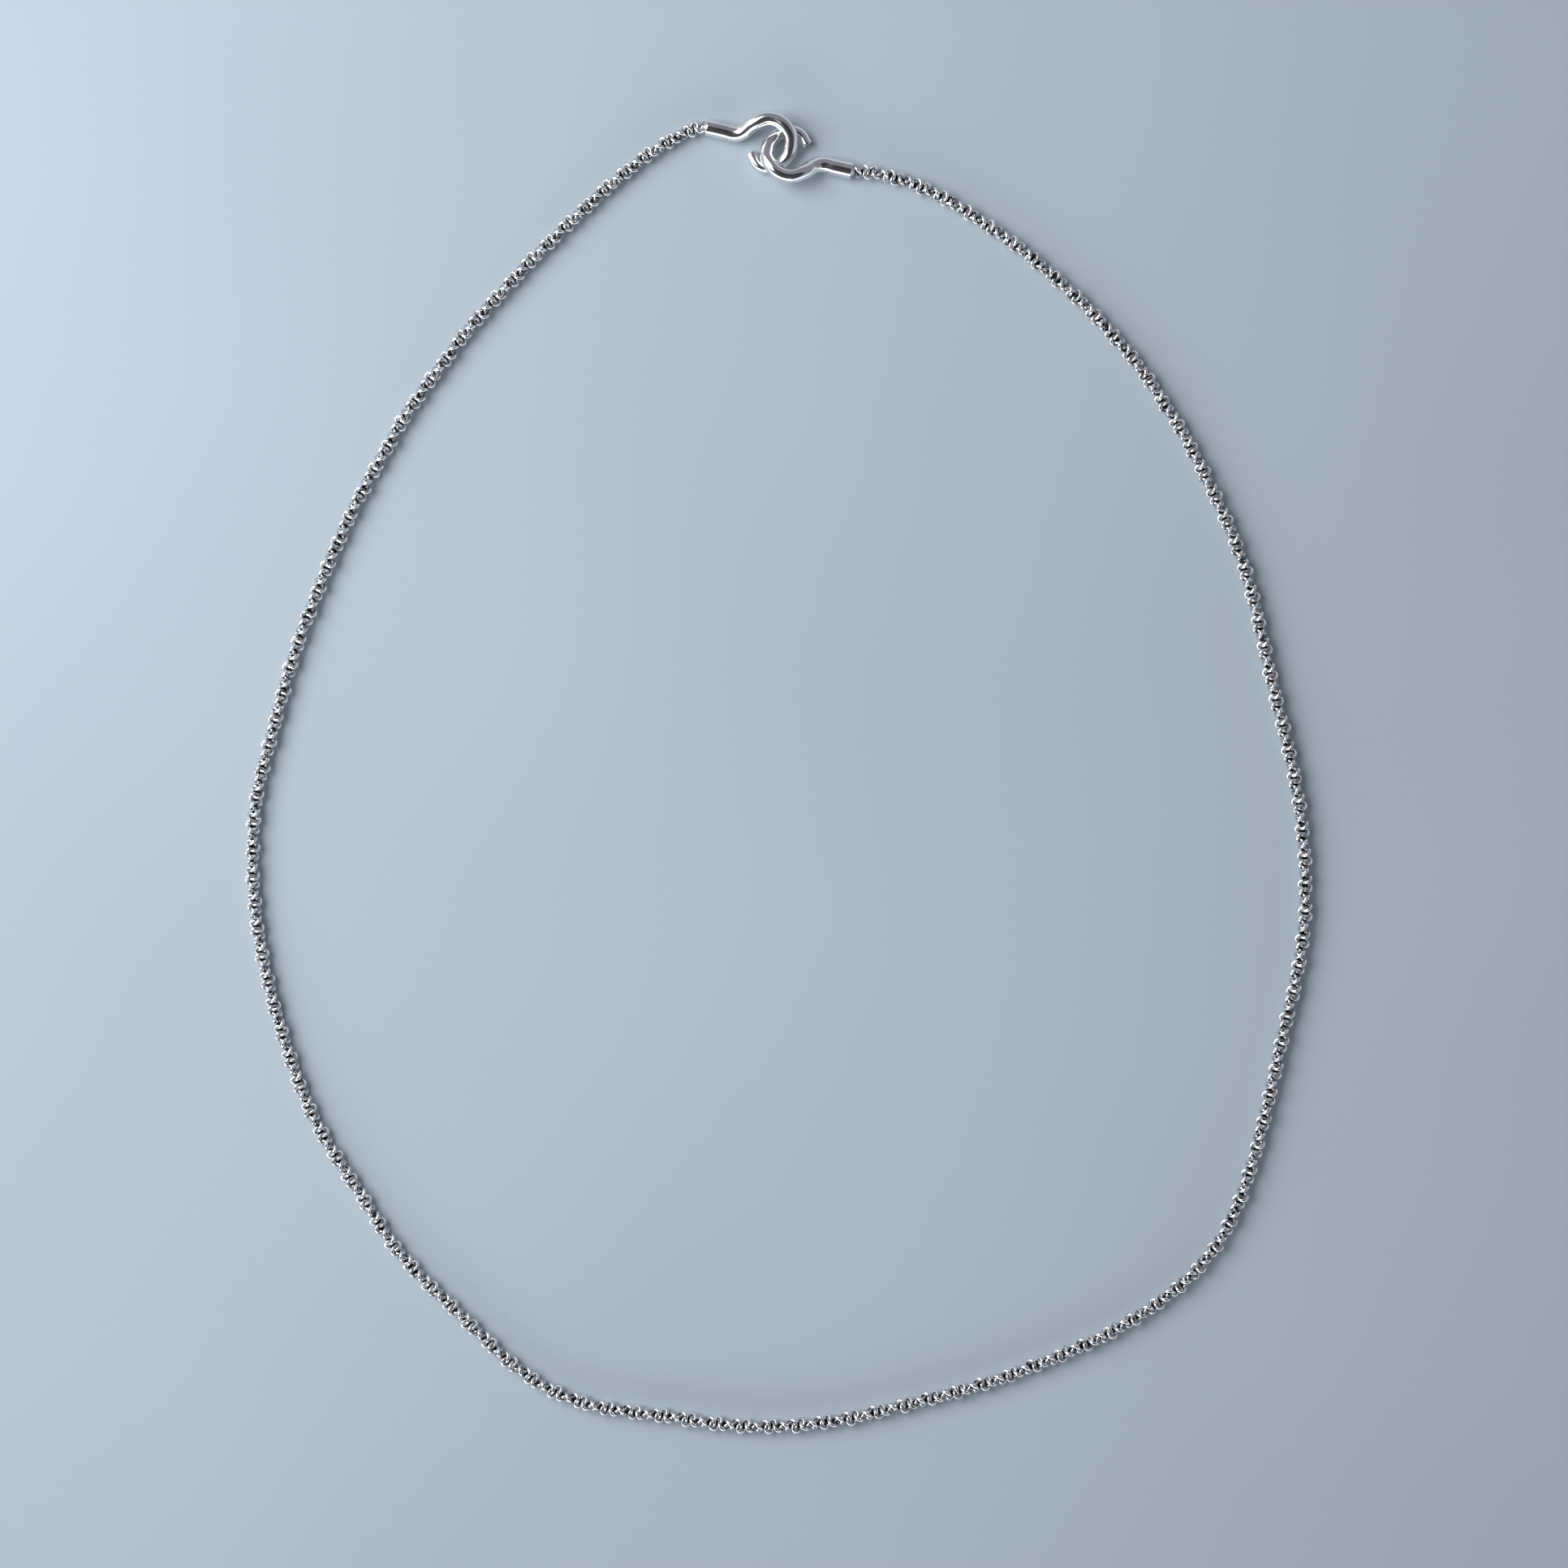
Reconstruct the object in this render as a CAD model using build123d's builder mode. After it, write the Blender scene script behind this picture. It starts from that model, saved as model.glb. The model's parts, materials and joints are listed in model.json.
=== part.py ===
from build123d import *
from build123d.topology import SkipClean
import math
import os

# A two-strand rope chain, closed into a loop by two identical hooks that grip each other.
# Millimetres. The loop lies flat on Z = 0, its clasp towards +Y, its centre at X = Y = 0.

# Rings of the rope: closed, each one linked through its neighbours, and soldered in threes, with
# a pair or two where a stretch's number of rings asks for them.
ring_radius = 0.62        # to the middle of the wire
wire_diameter = 0.32
ring_pitch = 0.46         # advance along the chain from one soldered ring to the next
ring_room = 0.4675        # about the length of chain that each ring takes up
ring_tilt = 50            # degrees between a ring's axis and the chain's line
ring_offset = 0.24        # from the chain's line to a ring's centre
lobe_length = 3.2         # half a turn of the two strands about each other
solder_bead = 0.30        # diameter of the solder between two rings
chain_height = 1.03       # the chain's line above the surface it lies on
loop_middle = (0.10, 0.32)  # the middle of the loop's box, among the route's own points

# The rope bends between two groups of rings, a little further apart there, and nowhere else.
hinge_play = 0.02
end_lift = 0.38           # from a tube's mouth to the first ring's centre
side_hinges = 13          # on each side of the loop, level with each other
side_top, side_bottom = 44.0, -54.0
bottom_stretches = 15     # around the bottom of the loop
top_stretches = 8         # on each side, from a tube's mouth to the first side hinge
halvings = 40             # of the span in which a side hinge is looked for

# Hooks: a tubular end, a bend and an open loop that tapers to a flat tip.
clasp_centre = (0.05, 76.32)
clasp_slope = -14.5       # degrees from +X to the line through both tubes
tube_radius = chain_height
bore_radius = 0.80
bore_depth = 1.9
mouth = (-9.2, 0.35, tube_radius)
tube_end = (-5.6, 0.47, tube_radius)
loop_centre = (-1.5, 0.30)
loop_radius = 2.85
bar_start = ((-6.5, 0.44, tube_radius), (-6.0, 0.455, tube_radius), (-5.5, 0.52, 1.05))
bend_point = (-4.72, 0.97, 1.34)
tip = (-3.2, -1.40, 0.72)
loop_heights = ((140, 2.12), (95, 2.45), (46, 2.50), (5, 1.76), (-35, 1.07), (-69, 0.80), (-96, 0.76))
bar_radii = ((0, 0.99), (0.08, 1.0), (0.18, 0.96), (0.35, 0.89), (0.6, 0.86), (0.85, 0.73), (1, 0.68))
bar_sections = 24
solder_dome = 0.42        # how far the solder stands out of a mouth
solder_dome_radius = 0.42
gripped_groups = 2        # groups of rings that the solder in a tube holds

# The chain's line, from the right-hand tube round the bottom to the left-hand one.
route_points = (
    (12.0, 73.65), (14.9, 72.95), (19.2, 71.2), (24.5, 68.0), (29.9, 64.2), (34.6, 60.2), (39.1, 55.8),
    (43.1, 51.3), (46.5, 46.5), (49.6, 41.6), (52.3, 36.4), (54.7, 31.3), (56.7, 26.2), (58.2, 21.0),
    (59.4, 15.7), (60.6, 10.4), (61.9, 5.1), (63.1, -0.3), (64.0, -6.2), (64.4, -12.0), (64.3, -17.9),
    (63.5, -23.6), (62.2, -29.4), (60.8, -35.6), (59.3, -42.1), (57.4, -48.9), (54.6, -55.6),
    (50.4, -61.0), (45.1, -65.2), (39.1, -68.7), (32.8, -71.4), (26.4, -73.8), (19.8, -75.7),
    (13.1, -77.4), (6.5, -78.8), (-0.3, -79.4), (-7.2, -79.1), (-14.1, -78.1), (-21.0, -77.2),
    (-27.7, -75.0), (-33.3, -71.1), (-38.4, -66.2), (-43.3, -61.5), (-47.5, -56.6), (-51.0, -51.1),
    (-54.4, -45.9), (-57.4, -40.3), (-59.6, -34.5), (-61.4, -28.8), (-62.8, -23.1), (-63.8, -17.3),
    (-64.2, -11.6), (-64.1, -5.9), (-63.3, -0.3), (-61.9, 5.0), (-60.5, 10.3), (-59.0, 15.3),
    (-57.2, 20.3), (-55.2, 25.3), (-53.1, 30.2), (-50.7, 35.0), (-48.0, 39.8), (-45.2, 44.6),
    (-41.9, 49.2), (-38.4, 53.9), (-34.3, 58.6), (-30.0, 63.2), (-25.2, 67.9), (-20.1, 72.6),
    (-16.6, 75.4), (-12.8, 77.9),
)

os.makedirs("parts", exist_ok=True)
clasp_plane = Plane((*clasp_centre, 0)).rotated((0, 0, clasp_slope))
clasp_turned = clasp_plane.rotated((0, 0, 180))
left_mouth = clasp_plane.from_local_coords(Vector(*mouth))
right_mouth = clasp_turned.from_local_coords(Vector(*mouth))
tube_direction = clasp_plane.x_dir


def chain_route():
    start = right_mouth + tube_direction * end_lift
    finish = left_mouth - tube_direction * end_lift
    inner = [Vector(x - loop_middle[0], y - loop_middle[1], chain_height) for x, y in route_points]
    with BuildLine() as line:
        Spline(start, *inner, finish)
    return line.edges()[0]


route = chain_route()
route_length = route.length


def place_on_route(distance):
    return route.position_at(distance / route_length)


def tangent_on_route(distance):
    return route.tangent_at(distance / route_length)


def distance_at_level(level, near, far):
    """The distance, between near and far, where the route crosses Y = level."""
    rising = place_on_route(far).Y > place_on_route(near).Y
    for _ in range(halvings):
        middle = (near + far) / 2
        if (place_on_route(middle).Y < level) == rising:
            near = middle
        else:
            far = middle
    return (near + far) / 2


def hinge_distances():
    """Distances along the route of all hinges, from the right-hand tube to the left-hand one."""
    step = (side_top - side_bottom) / (side_hinges - 1)
    levels = [side_top - step * k for k in range(side_hinges)]
    half = route_length / 2
    right = [distance_at_level(level, 0, half) for level in levels]
    left = [distance_at_level(level, half, route_length) for level in reversed(levels)]

    def between(first, last, stretches):
        gap = (last - first) / stretches
        return [first + gap * k for k in range(1, stretches)]

    top_right = between(0, right[0], top_stretches)
    bottom = between(right[-1], left[0], bottom_stretches)
    top_left = between(left[-1], route_length, top_stretches)
    return top_right + right + bottom + left + top_left


hinges = hinge_distances()
middle_stretch = len(hinges) // 2


def stretch_name(number):
    if number < middle_stretch:
        return f"chain_right_{middle_stretch - number:02d}"
    if number > middle_stretch:
        return f"chain_left_{number - middle_stretch:02d}"
    return "chain_bottom"


turn_per_ring = -math.pi * (1 + ring_pitch / lobe_length)  # negative: a left-hand screw


def ring_plane(place):
    """A ring's plane in a straight rope along Z, `place` rings from the origin."""
    turn = place * turn_per_ring
    tilt = math.radians(ring_tilt)
    outward = Vector(math.cos(turn), math.sin(turn), 0)
    lean = Vector(math.sin(turn), -math.cos(turn), 0)
    centre = outward * ring_offset + Vector(0, 0, ring_pitch * place)
    return Plane(origin=centre, x_dir=outward, z_dir=lean * math.sin(tilt) + Vector(0, 0, math.cos(tilt)))


def wire_line(plane):
    with BuildLine(plane) as line:
        CenterArc((0, 0), ring_radius, 0, 360)
    return line.edges()[0]


with BuildPart() as ring:
    Torus(ring_radius, wire_diameter / 2)

with BuildPart() as bead:
    Sphere(solder_bead / 2)


def soldered_group(count):
    """Linked rings, with a bead of solder between each two, where their wires come closest."""
    planes = [ring_plane(k - (count - 1) / 2) for k in range(count)]
    wires = [wire_line(plane) for plane in planes]
    closest = [first.distance_to_with_closest_points(second) for first, second in zip(wires, wires[1:])]
    with SkipClean(), BuildPart() as group:  # cleaning turns the cut wires inside out
        add([ring.part.moved(plane.location) for plane in planes], clean=False)
        for _, on_first, on_second in closest:
            add(bead.part.moved(Location((on_first + on_second) / 2)), clean=False)
    return group.part


soldered_pair = soldered_group(2)
soldered_three = soldered_group(3)


def group_plane(place, distance):
    """Where a group sits, with Z along the chain, when its middle is `place` rings from the start."""
    along = tangent_on_route(distance)
    level = Plane(origin=place_on_route(distance), x_dir=along.cross(Vector(0, 0, 1)), z_dir=along)
    turn = place * turn_per_ring
    outward = level.x_dir * math.cos(turn) + level.y_dir * math.sin(turn)
    return Plane(origin=level.origin, x_dir=outward, z_dir=along)


def rope_stretches():
    """The placed groups of rings in every stretch of rope between two hinges."""
    ends = [0, *hinges, route_length]
    stretches = []
    rings_laid = 0
    for first, last in zip(ends, ends[1:]):
        room = last - first - hinge_play
        rings = round(room / ring_room)
        pairs = -rings % 3
        threes = (rings - 2 * pairs) // 3
        stretches.append([])
        start = first + hinge_play / 2
        for group, count in [(soldered_pair, 2)] * pairs + [(soldered_three, 3)] * threes:
            length = room * count / rings
            plane = group_plane(rings_laid + count / 2, start + length / 2)
            stretches[-1].append(group.moved(plane.location))
            start += length
            rings_laid += count
    return stretches


stretches = rope_stretches()
for number, groups in enumerate(stretches):
    stretch = Compound(label=stretch_name(number), children=groups)
    export_step(stretch, f"parts/{stretch.label}.step")


def loop_point(angle, height):
    x = loop_centre[0] + loop_radius * math.cos(math.radians(angle))
    y = loop_centre[1] + loop_radius * math.sin(math.radians(angle))
    return (x, y, height)


def bar_radius(share):
    """The bar's radius at a share of its length, between the given ones."""
    for (first, radius), (last, next_radius) in zip(bar_radii, bar_radii[1:]):
        if share <= last:
            return radius + (next_radius - radius) * (share - first) / (last - first)
    return bar_radii[-1][1]


def section_plane(line, share):
    along = line.tangent_at(share)
    return Plane(origin=line.position_at(share), x_dir=Vector(0, 0, 1).cross(along), z_dir=along)


def clasp_hook():
    """One hook in the clasp's own frame, its tube to the left."""
    tube_line = Vector(*tube_end) - Vector(*mouth)
    tube_plane = Plane(origin=mouth, z_dir=tube_line)
    with BuildPart() as hook:
        with BuildLine() as bar:
            loop_points = [loop_point(angle, height) for angle, height in loop_heights]
            Spline(*bar_start, bend_point, *loop_points, tip)
        for k in range(bar_sections + 1):
            with BuildSketch(section_plane(bar.edges()[0], k / bar_sections)):
                Circle(bar_radius(k / bar_sections))
        loft()
        with BuildSketch(tube_plane):
            Circle(tube_radius)
        extrude(amount=tube_line.length)
        with BuildSketch(tube_plane):
            Circle(bore_radius)
        extrude(amount=bore_depth, mode=Mode.SUBTRACT)
    return hook.part


def solder_plug(mouth_point, outward, gripped):
    """Solder that fills a tube's bore and grips the nearest groups of rings."""
    with BuildPart() as plug:
        with BuildSketch(Plane(origin=mouth_point, z_dir=outward)):
            Circle(bore_radius)
        extrude(amount=-bore_depth)
        with BuildSketch(Plane(origin=mouth_point, z_dir=outward)):
            Circle(bore_radius)
        with BuildSketch(Plane(origin=mouth_point + outward * solder_dome, z_dir=outward)):
            Circle(solder_dome_radius)
        loft()
        add(gripped, clean=False, mode=Mode.SUBTRACT)
    return plug.part


hook = clasp_hook()
hook_left = hook.moved(clasp_plane.location)
hook_left.label = "hook_left"
export_step(hook_left, "parts/hook_left.step")
hook_right = hook.moved(clasp_turned.location)
hook_right.label = "hook_right"
export_step(hook_right, "parts/hook_right.step")

tube_axis = (Vector(*mouth) - Vector(*tube_end)).normalized()
tube_axis_left = clasp_plane.from_local_coords(tube_axis) - clasp_plane.origin
tube_axis_right = clasp_turned.from_local_coords(tube_axis) - clasp_turned.origin
solder_left = solder_plug(left_mouth, tube_axis_left, stretches[-1][-gripped_groups:])
solder_left.label = "solder_left"
export_step(solder_left, "parts/solder_left.step")
solder_right = solder_plug(right_mouth, tube_axis_right, stretches[0][:gripped_groups])
solder_right.label = "solder_right"
export_step(solder_right, "parts/solder_right.step")
print("route", round(route_length, 2), "groups of rings", sum(len(groups) for groups in stretches))
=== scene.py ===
import bpy
import json
import math
import random
import numpy as np
from mathutils import Euler, Matrix, Vector


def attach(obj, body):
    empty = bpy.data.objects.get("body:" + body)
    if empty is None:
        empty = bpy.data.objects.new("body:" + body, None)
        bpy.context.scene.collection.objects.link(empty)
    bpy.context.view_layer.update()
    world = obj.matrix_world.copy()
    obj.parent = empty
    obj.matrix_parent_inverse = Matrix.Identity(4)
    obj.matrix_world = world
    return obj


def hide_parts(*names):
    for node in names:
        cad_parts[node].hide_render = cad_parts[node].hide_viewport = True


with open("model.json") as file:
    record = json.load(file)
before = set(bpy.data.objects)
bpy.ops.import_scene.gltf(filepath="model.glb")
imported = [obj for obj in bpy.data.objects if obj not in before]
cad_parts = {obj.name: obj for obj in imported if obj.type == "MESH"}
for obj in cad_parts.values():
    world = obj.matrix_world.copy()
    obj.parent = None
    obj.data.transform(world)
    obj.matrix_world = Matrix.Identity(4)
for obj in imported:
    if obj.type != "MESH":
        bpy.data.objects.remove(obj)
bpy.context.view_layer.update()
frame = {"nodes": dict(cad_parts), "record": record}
mm = 0.001
print("frame loaded:", len(frame["nodes"]), "nodes")


def deselectAll():
    bpy.ops.object.select_all(action="DESELECT")


# Shader maths: a socket that takes part in ordinary expressions.
class Signal:
    def __init__(self, finish, socket):
        self.finish = finish
        self.socket = socket

    def combine(self, operation, first, second):
        return self.finish.node("ShaderNodeMath", {"operation": operation}, {0: first, 1: second})

    def __add__(self, other):
        return self.combine("ADD", self, other)

    def __radd__(self, other):
        return self.combine("ADD", other, self)

    def __sub__(self, other):
        return self.combine("SUBTRACT", self, other)

    def __rsub__(self, other):
        return self.combine("SUBTRACT", other, self)

    def __mul__(self, other):
        return self.combine("MULTIPLY", self, other)

    def __rmul__(self, other):
        return self.combine("MULTIPLY", other, self)


# A material or a world and its nodes.
class Finish:
    def __init__(self, owner, shader="Principled BSDF", place="Object"):
        owner.use_nodes = True
        self.material = owner
        self.tree = owner.node_tree
        self.shader = self.tree.nodes[shader]
        self.place = Signal(self, self.tree.nodes.new("ShaderNodeTexCoord").outputs[place])

    # Adds a node: its settings, then what goes into its sockets; gives back one of its outputs.
    def node(self, kind, settings, inputs, output=0):
        made = self.tree.nodes.new(kind)
        for name, value in settings.items():
            if name == "stops":
                ramp = made.color_ramp.elements
                while len(ramp) < len(value):
                    ramp.new(1)
                for stop, (position, colour) in zip(ramp, value):
                    stop.position = position
                    stop.color = colour
            else:
                setattr(made, name, value)
        for socket, value in inputs.items():
            self.plug(made.inputs[socket], value)
        return Signal(self, made.outputs[output])

    def plug(self, socket, value):
        if isinstance(value, Signal):
            self.tree.links.new(value.socket, socket)
        else:
            socket.default_value = value

    def set(self, **sockets):
        for name, value in sockets.items():
            self.plug(self.shader.inputs[name.replace("_", " ")], value)

    def noise(self, scale, detail=2, roughness=0.5, place=None):
        inputs = {"Vector": place or self.place, "Scale": scale, "Detail": detail, "Roughness": roughness}
        return self.node("ShaderNodeTexNoise", {}, inputs)

    def stretched(self, scale, turn=0.0):
        inputs = {"Vector": self.place, "Scale": scale, "Rotation": (0, 0, turn)}
        return self.node("ShaderNodeMapping", {}, inputs)

    def ramp(self, value, stops):
        return self.node("ShaderNodeValToRGB", {"stops": stops}, {"Fac": value})

    def dot(self, first, second):
        return self.node("ShaderNodeVectorMath", {"operation": "DOT_PRODUCT"}, {0: first, 1: second}, "Value")

    def mix(self, factor, first, second):
        return self.node("ShaderNodeMix", {"data_type": "RGBA"}, {0: factor, 6: first, 7: second}, 2)

    def bump(self, height, strength, distance):
        inputs = {"Height": height, "Strength": strength, "Distance": distance}
        return self.node("ShaderNodeBump", {}, inputs)


ropeLook = {
    "bright": (0.90, 0.905, 0.91, 1),
    "tarnish": (0.58, 0.57, 0.55, 1),
    "patchScale": 900,
    "roughness": 0.10,
    "roughnessSpread": 0.16,
    # The flank and crevice colours are painted shade between the wires, along with some oxide.
    "flank": (0.60, 0.59, 0.60, 1),
    "crevice": (0.10, 0.097, 0.10, 1),
    "dullRoughness": 0.25,
}


def ropeSilver():
    finish = Finish(bpy.data.materials.new("ropeSilver"))
    patches = finish.noise(ropeLook["patchScale"], 3)
    colour = finish.ramp(patches, [(0.30, ropeLook["tarnish"]), (0.46, ropeLook["bright"])])
    grain = finish.noise(ropeLook["patchScale"] * 9, 2)
    finish.set(Base_Color=colour, Metallic=1.0)
    finish.set(Roughness=grain * ropeLook["roughnessSpread"] + ropeLook["roughness"])
    dents = finish.noise(ropeLook["patchScale"] * 3, 2)
    finish.set(Normal=finish.bump(dents, 0.12, 0.02 * mm))
    return finish.material


# Darker silver on the flanks of the wires and in the crevices between them: painted shade, along with oxide that
# polishing doesn't reach.
def oxideAndShadeSilver(part):
    finish = Finish(bpy.data.materials.new(part + "Silver"))
    finish.set(Base_Color=ropeLook[part], Metallic=1.0, Roughness=ropeLook["dullRoughness"])
    return finish.material


claspLook = {
    "bright": (0.92, 0.922, 0.92, 1),
    "smudge": (0.80, 0.79, 0.77, 1),
    "smudgeScale": 420,
    "roughness": 0.07,
    "roughnessSpread": 0.13,
    "tubeTurn": math.radians(14.5),
    "scratches": (900, 14000, 9000),
}


def claspSilver():
    finish = Finish(bpy.data.materials.new("claspSilver"))
    smudges = finish.noise(claspLook["smudgeScale"], 4, 0.6)
    colour = finish.ramp(smudges, [(0.34, claspLook["smudge"]), (0.55, claspLook["bright"])])
    drawn = finish.noise(1, 3, 0.6, finish.stretched(claspLook["scratches"], claspLook["tubeTurn"]))
    finish.set(Base_Color=colour, Metallic=1.0)
    finish.set(Roughness=smudges * drawn * claspLook["roughnessSpread"] * 2 + claspLook["roughness"])
    finish.set(Normal=finish.bump(drawn, 0.10, 0.01 * mm))
    return finish.material


def solderSilver():
    finish = Finish(bpy.data.materials.new("solderSilver"))
    lumps = finish.noise(2600, 4, 0.6)
    colour = finish.ramp(lumps, [(0.3, (0.55, 0.54, 0.52, 1)), (0.6, (0.85, 0.85, 0.84, 1))])
    finish.set(Base_Color=colour, Metallic=1.0, Roughness=lumps * 0.3 + 0.2)
    finish.set(Normal=finish.bump(lumps, 0.5, 0.05 * mm))
    return finish.material


# The second and third rope finishes carry the painted shade of the flanks and crevices.
ropeFinishes = [ropeSilver(), oxideAndShadeSilver("flank"), oxideAndShadeSilver("crevice")]
claspFinish = claspSilver()
solderFinish = solderSilver()
for name in ("solder_left", "solder_right"):
    plug = frame["nodes"][name]
    plug.data.materials.clear()
    plug.data.materials.append(solderFinish)
print("finishes made")


rope = {
    "ringRadius": 0.565,
    "wireRadius": 0.215,
    # How near the rope's middle a face lies before it gets the painted shade of the flanks, then of the crevices.
    "flankReach": 0.62,
    "creviceReach": 0.43,
    "sidesRound": 14,
    "sidesAcross": 6,
    "looseness": math.radians(1.2),
    "seed": 7,
}
ropeChance = random.Random(rope["seed"])


# The frame's own vertices, split where one face's mesh ends and the next begins. The rings are
# the large ones; the small ones between them are the solder that holds them together.
def ringsOfNode(node):
    mesh = node.data
    points = np.empty(len(mesh.vertices) * 3)
    mesh.vertices.foreach_get("co", points)
    points = points.reshape(-1, 3)
    corners = np.empty(len(mesh.polygons) * 3, dtype=int)
    mesh.polygons.foreach_get("vertices", corners)
    corners = corners.reshape(-1, 3)
    first, last = corners.min(axis=1), corners.max(axis=1)
    order = np.argsort(first, kind="stable")
    reached = np.maximum.accumulate(last[order])
    starts = [0] + list(first[order][1:][first[order][1:] > reached[:-1]]) + [len(points)]
    blocks = [np.unique(points[a:b].round(7), axis=0) for a, b in zip(starts, starts[1:])]
    return [block for block in blocks if np.ptp(block, axis=0).max() > rope["ringRadius"] * mm]


# A ring's middle, and its axis as the direction in which its points spread least.
def placeOfRing(points):
    middle = points.mean(axis=0)
    spread = np.linalg.eigh(np.cov((points - middle).T))[1]
    turn = Vector(spread[:, 0]).to_track_quat("Z", "Y").to_matrix().to_4x4()
    wobble = Euler([ropeChance.gauss(0, rope["looseness"]) for axis in range(3)]).to_matrix().to_4x4()
    return Matrix.Translation(Vector(middle)) @ turn @ wobble


def makeRingPattern():
    deselectAll()
    bpy.ops.mesh.primitive_torus_add(
        major_radius=rope["ringRadius"] * mm, minor_radius=rope["wireRadius"] * mm,
        major_segments=rope["sidesRound"], minor_segments=rope["sidesAcross"])
    bpy.ops.object.shade_smooth()
    pattern = bpy.context.object
    for finish in ropeFinishes:
        pattern.data.materials.append(finish)
    return pattern


# The rope's middle beside each ring of a stretch, and the way the rope runs there.
def middleLine(places):
    middles = np.array([place.translation for place in places])
    steps = np.arange(len(places))
    curves = [np.polyfit(steps, column, 2) for column in middles.T]
    points = np.array([np.polyval(curve, steps) for curve in curves]).T
    ways = np.array([np.polyval(np.polyder(curve), steps) for curve in curves]).T
    return points, ways / np.linalg.norm(ways, axis=1, keepdims=True)


# The nearer a face is to the rope's middle, the darker its silver: painted shade on the flanks and in the crevices,
# along with oxide there.
def paintRingShade(mesh, middle, way):
    for face in mesh.polygons:
        offset = np.array(face.center) - middle
        reach = np.linalg.norm(offset - way * offset.dot(way)) / mm
        face.material_index = int(reach < rope["flankReach"]) + int(reach < rope["creviceReach"])


def makeStretch(nodeName, body, pattern):
    deselectAll()
    places = [placeOfRing(points) for points in ringsOfNode(frame["nodes"][nodeName])]
    for place, middle, way in zip(places, *middleLine(places)):
        ring = pattern.copy()
        ring.data = pattern.data.copy()
        ring.data.transform(place)
        paintRingShade(ring.data, middle, way)
        bpy.context.scene.collection.objects.link(ring)
        ring.select_set(True)
        bpy.context.view_layer.objects.active = ring
    bpy.ops.object.join()
    stretch = bpy.context.object
    stretch.name = "rope" + nodeName.replace("chain", "")
    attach(stretch, body)
    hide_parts(nodeName)


ringPattern = makeRingPattern()
for body, nodeNames in frame["record"]["behaviour"]["bodies"].items():
    for nodeName in nodeNames:
        if nodeName.startswith("chain"):
            makeStretch(nodeName, body, ringPattern)
bpy.data.objects.remove(ringPattern)
print("rope laid")


hook = {
    "centre": (0.05, 76.32),
    "slope": math.radians(-14.5),
    "mouth": (-9.2, 0.35, 1.03),
    "tubeEnd": (-5.6, 0.47, 1.03),
    "bend": (-4.72, 0.97, 1.34),
    "loopCentre": (-1.5, 0.30),
    "loopRadius": 2.85,
    "loopHeights": ((140, 2.12), (95, 2.45), (46, 2.50), (5, 1.76), (-35, 1.07), (-69, 0.80), (-96, 0.77)),
    "tip": (-3.2, -1.40, 0.75),
    "tubeRadius": 1.03,
    "boreRadius": 0.80,
    "boreDepth": 1.85,
    "radii": (1.03, 1.03, 1.0, 0.96, 0.92, 0.89, 0.86, 0.83, 0.79, 0.74, 0.73, 0.72),
    "edge": 0.06,
    "stepsPerSpan": 10,
    "sidesAcross": 40,
}


def hookPath():
    x0, y0 = hook["loopCentre"]
    points = [hook["mouth"]]
    points.append(tuple(0.45 * m + 0.55 * t for m, t in zip(hook["mouth"], hook["tubeEnd"])))
    points += [hook["tubeEnd"], hook["bend"]]
    for degrees, height in hook["loopHeights"]:
        angle = math.radians(degrees)
        points.append((x0 + hook["loopRadius"] * math.cos(angle), y0 + hook["loopRadius"] * math.sin(angle), height))
    points.append(hook["tip"])
    return [Vector(point) for point in points]


# The bar follows a smooth curve; its thickness tapers from the tube to the tip.
def makeBar(name):
    deselectAll()
    bpy.ops.curve.primitive_bezier_curve_add()
    bar = bpy.context.object
    bar.name = name
    bar.data.splines.clear()
    path = hookPath()
    spline = bar.data.splines.new("BEZIER")
    spline.bezier_points.add(len(path) - 1)
    for point, place, radius in zip(spline.bezier_points, path, hook["radii"]):
        point.co = place
        point.radius = radius
        point.handle_left_type = point.handle_right_type = "AUTO"
    bar.data.dimensions = "3D"
    bar.data.twist_mode = "Z_UP"
    bar.data.resolution_u = hook["stepsPerSpan"]
    bar.data.bevel_depth = 1
    bar.data.bevel_resolution = hook["sidesAcross"] // 4 - 1
    bar.data.use_radius = True
    bpy.ops.object.convert(target="MESH")
    return bpy.context.object


# Selects the open edge near a place and tells its middle and the way it faces.
def selectOpenEdge(piece, near):
    bpy.ops.object.mode_set(mode="OBJECT")
    uses = {}
    for face in piece.data.polygons:
        for key in face.edge_keys:
            uses[key] = uses.get(key, 0) + 1
    openCorners = {corner for key, count in uses.items() if count == 1 for corner in key}
    reach = hook["tubeRadius"] * 1.3
    rim = [c for c in openCorners if (piece.data.vertices[c].co - near).length < reach]
    places = [piece.data.vertices[c].co.copy() for c in rim]
    bpy.ops.object.mode_set(mode="EDIT")
    bpy.ops.mesh.select_all(action="DESELECT")
    bpy.ops.object.mode_set(mode="OBJECT")
    for corner in rim:
        piece.data.vertices[corner].select = True
    middle = sum(places, Vector()) / len(places)
    spread = np.linalg.eigh(np.cov(np.array([place - middle for place in places]).T))[1]
    bpy.ops.object.mode_set(mode="EDIT")
    return middle, Vector(spread[:, 0])


# Each step extrudes the open edge: how far it moves along a direction, and its new radius.
def extrudeSteps(middle, direction, radius, steps):
    for advance, newRadius in steps:
        move = direction * advance
        middle = middle + move
        share = newRadius / radius
        bpy.ops.mesh.extrude_region_move(TRANSFORM_OT_translate={"value": move})
        bpy.ops.transform.resize(value=(share, share, share), center_override=middle)
        radius = newRadius


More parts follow.
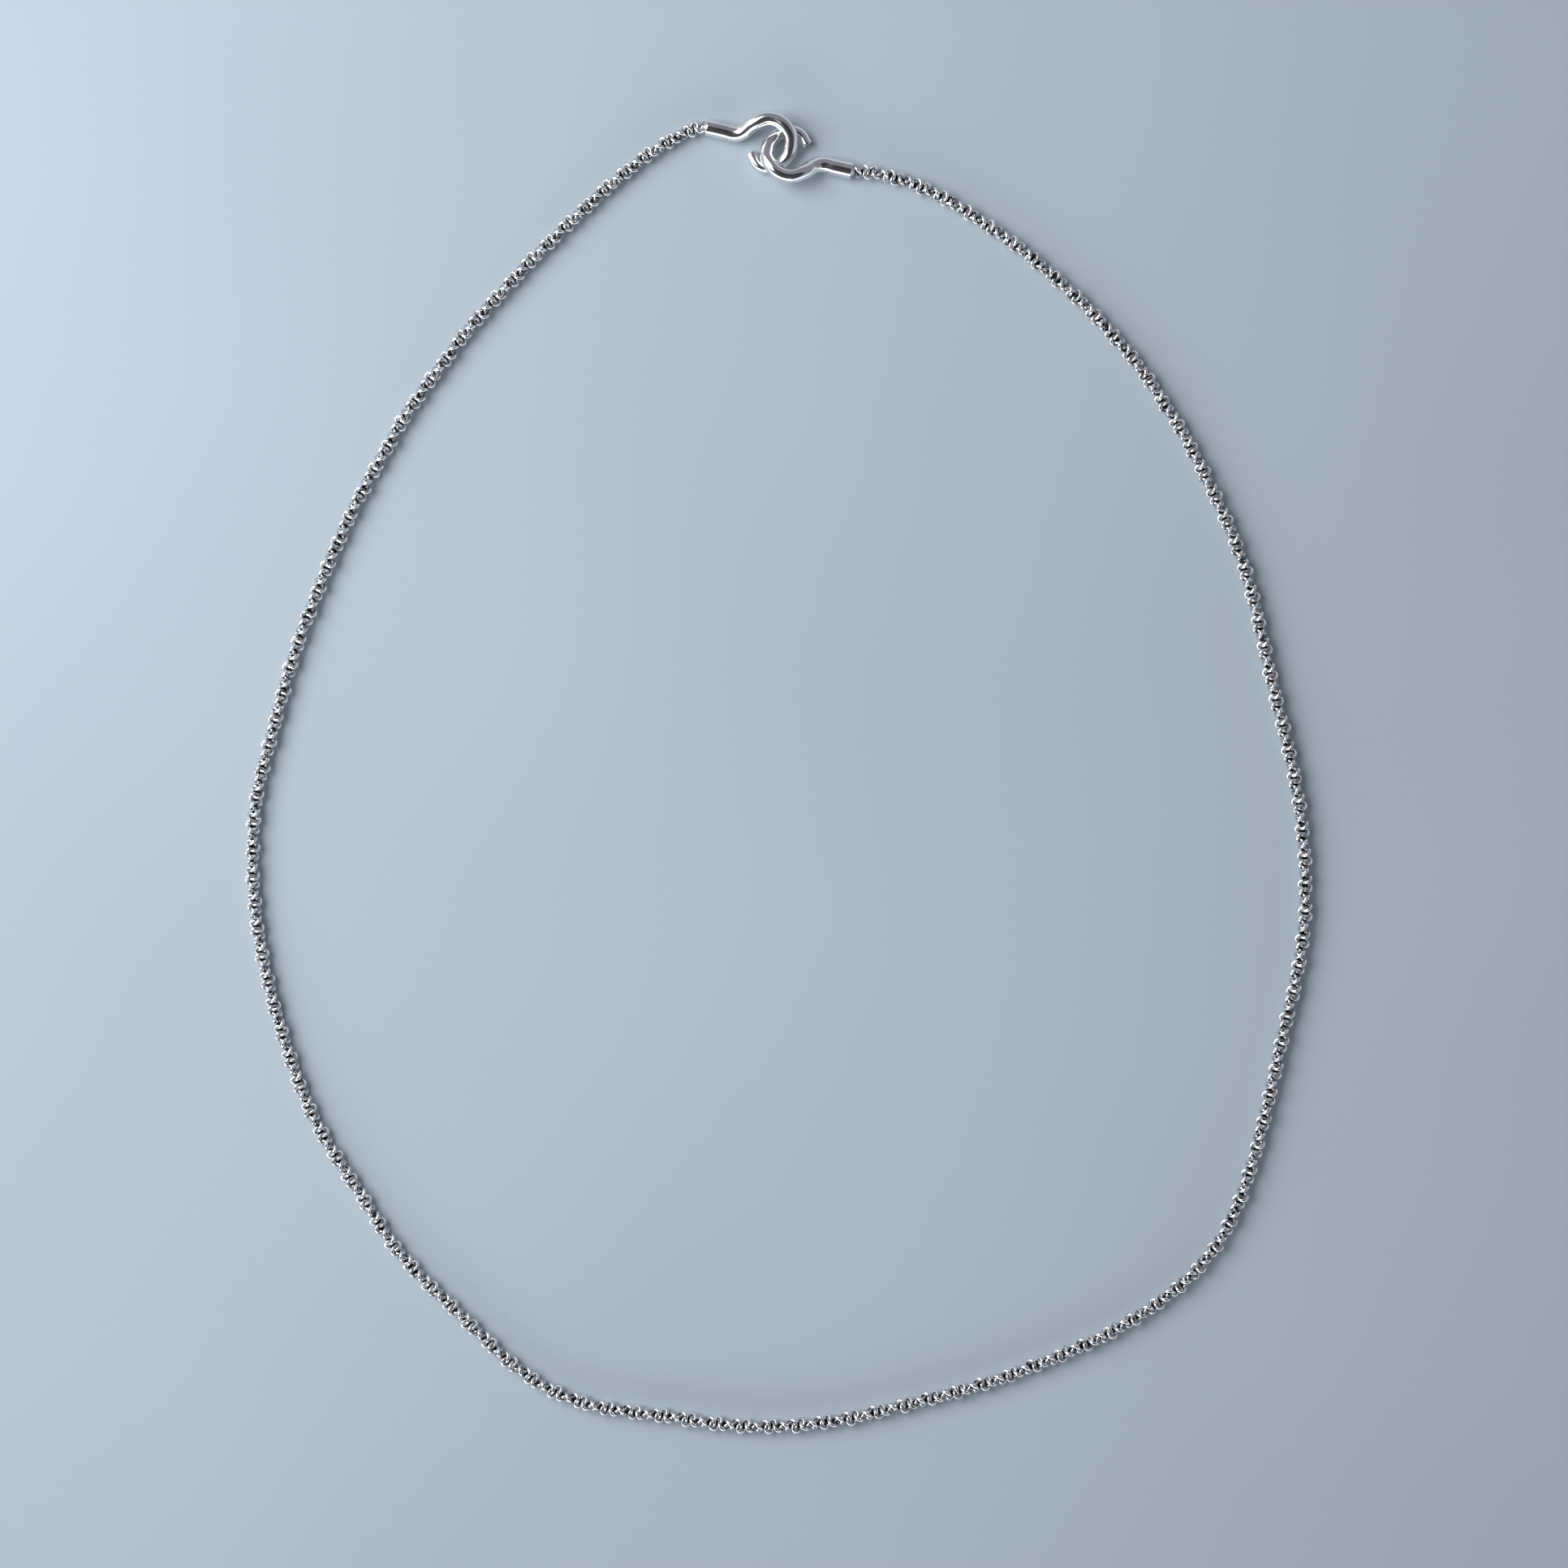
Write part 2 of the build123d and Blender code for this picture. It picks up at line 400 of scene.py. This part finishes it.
def finishEnds(bar):
    edge, outer, bore = hook["edge"], hook["tubeRadius"], hook["boreRadius"]
    bpy.ops.object.mode_set(mode="EDIT")
    bpy.ops.mesh.select_all(action="SELECT")
    bpy.ops.mesh.remove_doubles(threshold=1e-4)
    outward = (Vector(hook["mouth"]) - Vector(hook["tubeEnd"])).normalized()
    middle, facing = selectOpenEdge(bar, Vector(hook["mouth"]))
    extrudeSteps(middle, outward, outer, [
        (edge * 0.6, outer - edge * 0.3), (edge * 0.4, outer - edge), (0, bore + edge),
        (-edge * 0.4, bore + edge * 0.3), (-edge * 0.6, bore), (-hook["boreDepth"], bore), (0, bore * 0.1)])
    bpy.ops.mesh.edge_face_add()
    beforeTip, tip = hookPath()[-2:]
    tipRadius = hook["radii"][-1]
    middle, facing = selectOpenEdge(bar, tip)
    if facing.dot(tip - beforeTip) < 0:
        facing = -facing
    extrudeSteps(middle, facing, tipRadius, [(edge * 0.6, tipRadius - edge * 0.3), (edge * 0.4, tipRadius - edge)])
    bpy.ops.mesh.edge_face_add()
    bpy.ops.mesh.select_all(action="SELECT")
    bpy.ops.mesh.normals_make_consistent(inside=False)
    bpy.ops.object.mode_set(mode="OBJECT")
    bpy.ops.object.shade_smooth_by_angle(angle=math.radians(40))


def makeHook(side, extraTurn):
    bar = makeBar("clasp" + side)
    finishEnds(bar)
    place = Matrix.Translation(Vector((*hook["centre"], 0)) * mm)
    turn = Matrix.Rotation(hook["slope"] + extraTurn, 4, "Z")
    bar.data.transform(place @ turn @ Matrix.Scale(mm, 4))
    bar.data.materials.clear()
    bar.data.materials.append(claspFinish)
    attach(bar, "clasp_" + side.lower())
    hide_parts("hook_" + side.lower())


makeHook("Left", 0)
makeHook("Right", math.pi)
print("hooks made")


studio = {
    "pictureSide": 1932,
    "mmPerPixel": 0.0994,
    "pictureMiddle": (0.65, -1.26),
    "cameraHeight": 420,
    "sensor": 36,
    "floorColour": (0.434, 0.508, 0.571, 1),
    "floorSize": 3000,
}


def addCamera():
    width = studio["pictureSide"] * studio["mmPerPixel"]
    x, y = studio["pictureMiddle"]
    bpy.ops.object.camera_add(location=(x * mm, y * mm, studio["cameraHeight"] * mm), rotation=(0, 0, 0))
    camera = bpy.context.object
    camera.name = "pictureCamera"
    camera.data.sensor_width = studio["sensor"]
    camera.data.lens = studio["sensor"] * studio["cameraHeight"] / width
    camera.data.clip_start = 0.01
    bpy.context.scene.camera = camera


def addFloor():
    deselectAll()
    bpy.ops.mesh.primitive_plane_add(size=studio["floorSize"] * mm)
    floor = bpy.context.object
    floor.name = "floor"
    finish = Finish(bpy.data.materials.new("floorFinish"))
    x, y, z, w = studio["floorColour"]
    shade = finish.noise(9, 2)
    darker = (x * 0.95, y * 0.95, z * 0.95, 1)
    finish.set(Base_Color=finish.ramp(shade, [(0.35, darker), (0.65, (x, y, z, 1))]), Roughness=0.9)
    floor.data.materials.append(finish.material)


lamps = [
    {"name": "keyLamp", "at": (-0.29, 0.125, 0.32), "size": (0.36, 0.36), "power": 2.35},
    {"name": "windowLamp", "at": (-0.30, -0.85, 0.30), "size": (0.9, 0.25), "power": 2.0},
]


def addLamps():
    target = Vector((0, 0, 0))
    for lamp in lamps:
        place = Vector(lamp["at"])
        turn = (target - place).to_track_quat("-Z", "Y").to_euler()
        bpy.ops.object.light_add(type="AREA", location=place, rotation=turn)
        light = bpy.context.object
        light.name = lamp["name"]
        light.data.shape = "RECTANGLE"
        light.data.size, light.data.size_y = lamp["size"]
        light.data.energy = lamp["power"]


# The room is pale all round and dimmer above, brightest low down on the window's side, and
# something dark leans over the necklace from the window's side.
room = {
    "wall": (0.84, 0.88, 0.92, 1),
    "wallTop": 0.08,
    "ceiling": (0.26, 0.26, 0.31, 1),
    "ceilingEdge": 0.42,
    "shade": (0.035, 0.034, 0.038, 1),
    "shadeTowards": (0, -0.454, 0.891),
    "shadeReach": (0.70, 0.80),
    "brightness": 0.85,
    "window": (-0.35, -0.94, 0.0),
    "windowGain": 1.6,
}


def setWorld():
    world = bpy.data.worlds.new("softRoom")
    bpy.context.scene.world = world
    finish = Finish(world, "Background", "Generated")
    height = finish.node("ShaderNodeSeparateXYZ", {}, {"Vector": finish.place}, "Z")
    walls = finish.ramp(height, [(room["wallTop"], room["wall"]), (room["ceilingEdge"], room["ceiling"])])
    low, high = room["shadeReach"]
    shaded = finish.node("ShaderNodeMapRange", {}, {
        "Value": finish.dot(finish.place, room["shadeTowards"]), "From Min": low, "From Max": high})
    colour = finish.mix(shaded, walls, room["shade"])
    glow = finish.node("ShaderNodeMath", {"operation": "MAXIMUM"}, {
        0: finish.dot(finish.place, room["window"]), 1: 0.0})
    finish.set(Color=colour, Strength=glow * room["windowGain"] + room["brightness"])


addCamera()
addFloor()
addLamps()
setWorld()
bpy.context.scene.view_settings.view_transform = "Standard"
print("camera, floor and light placed")
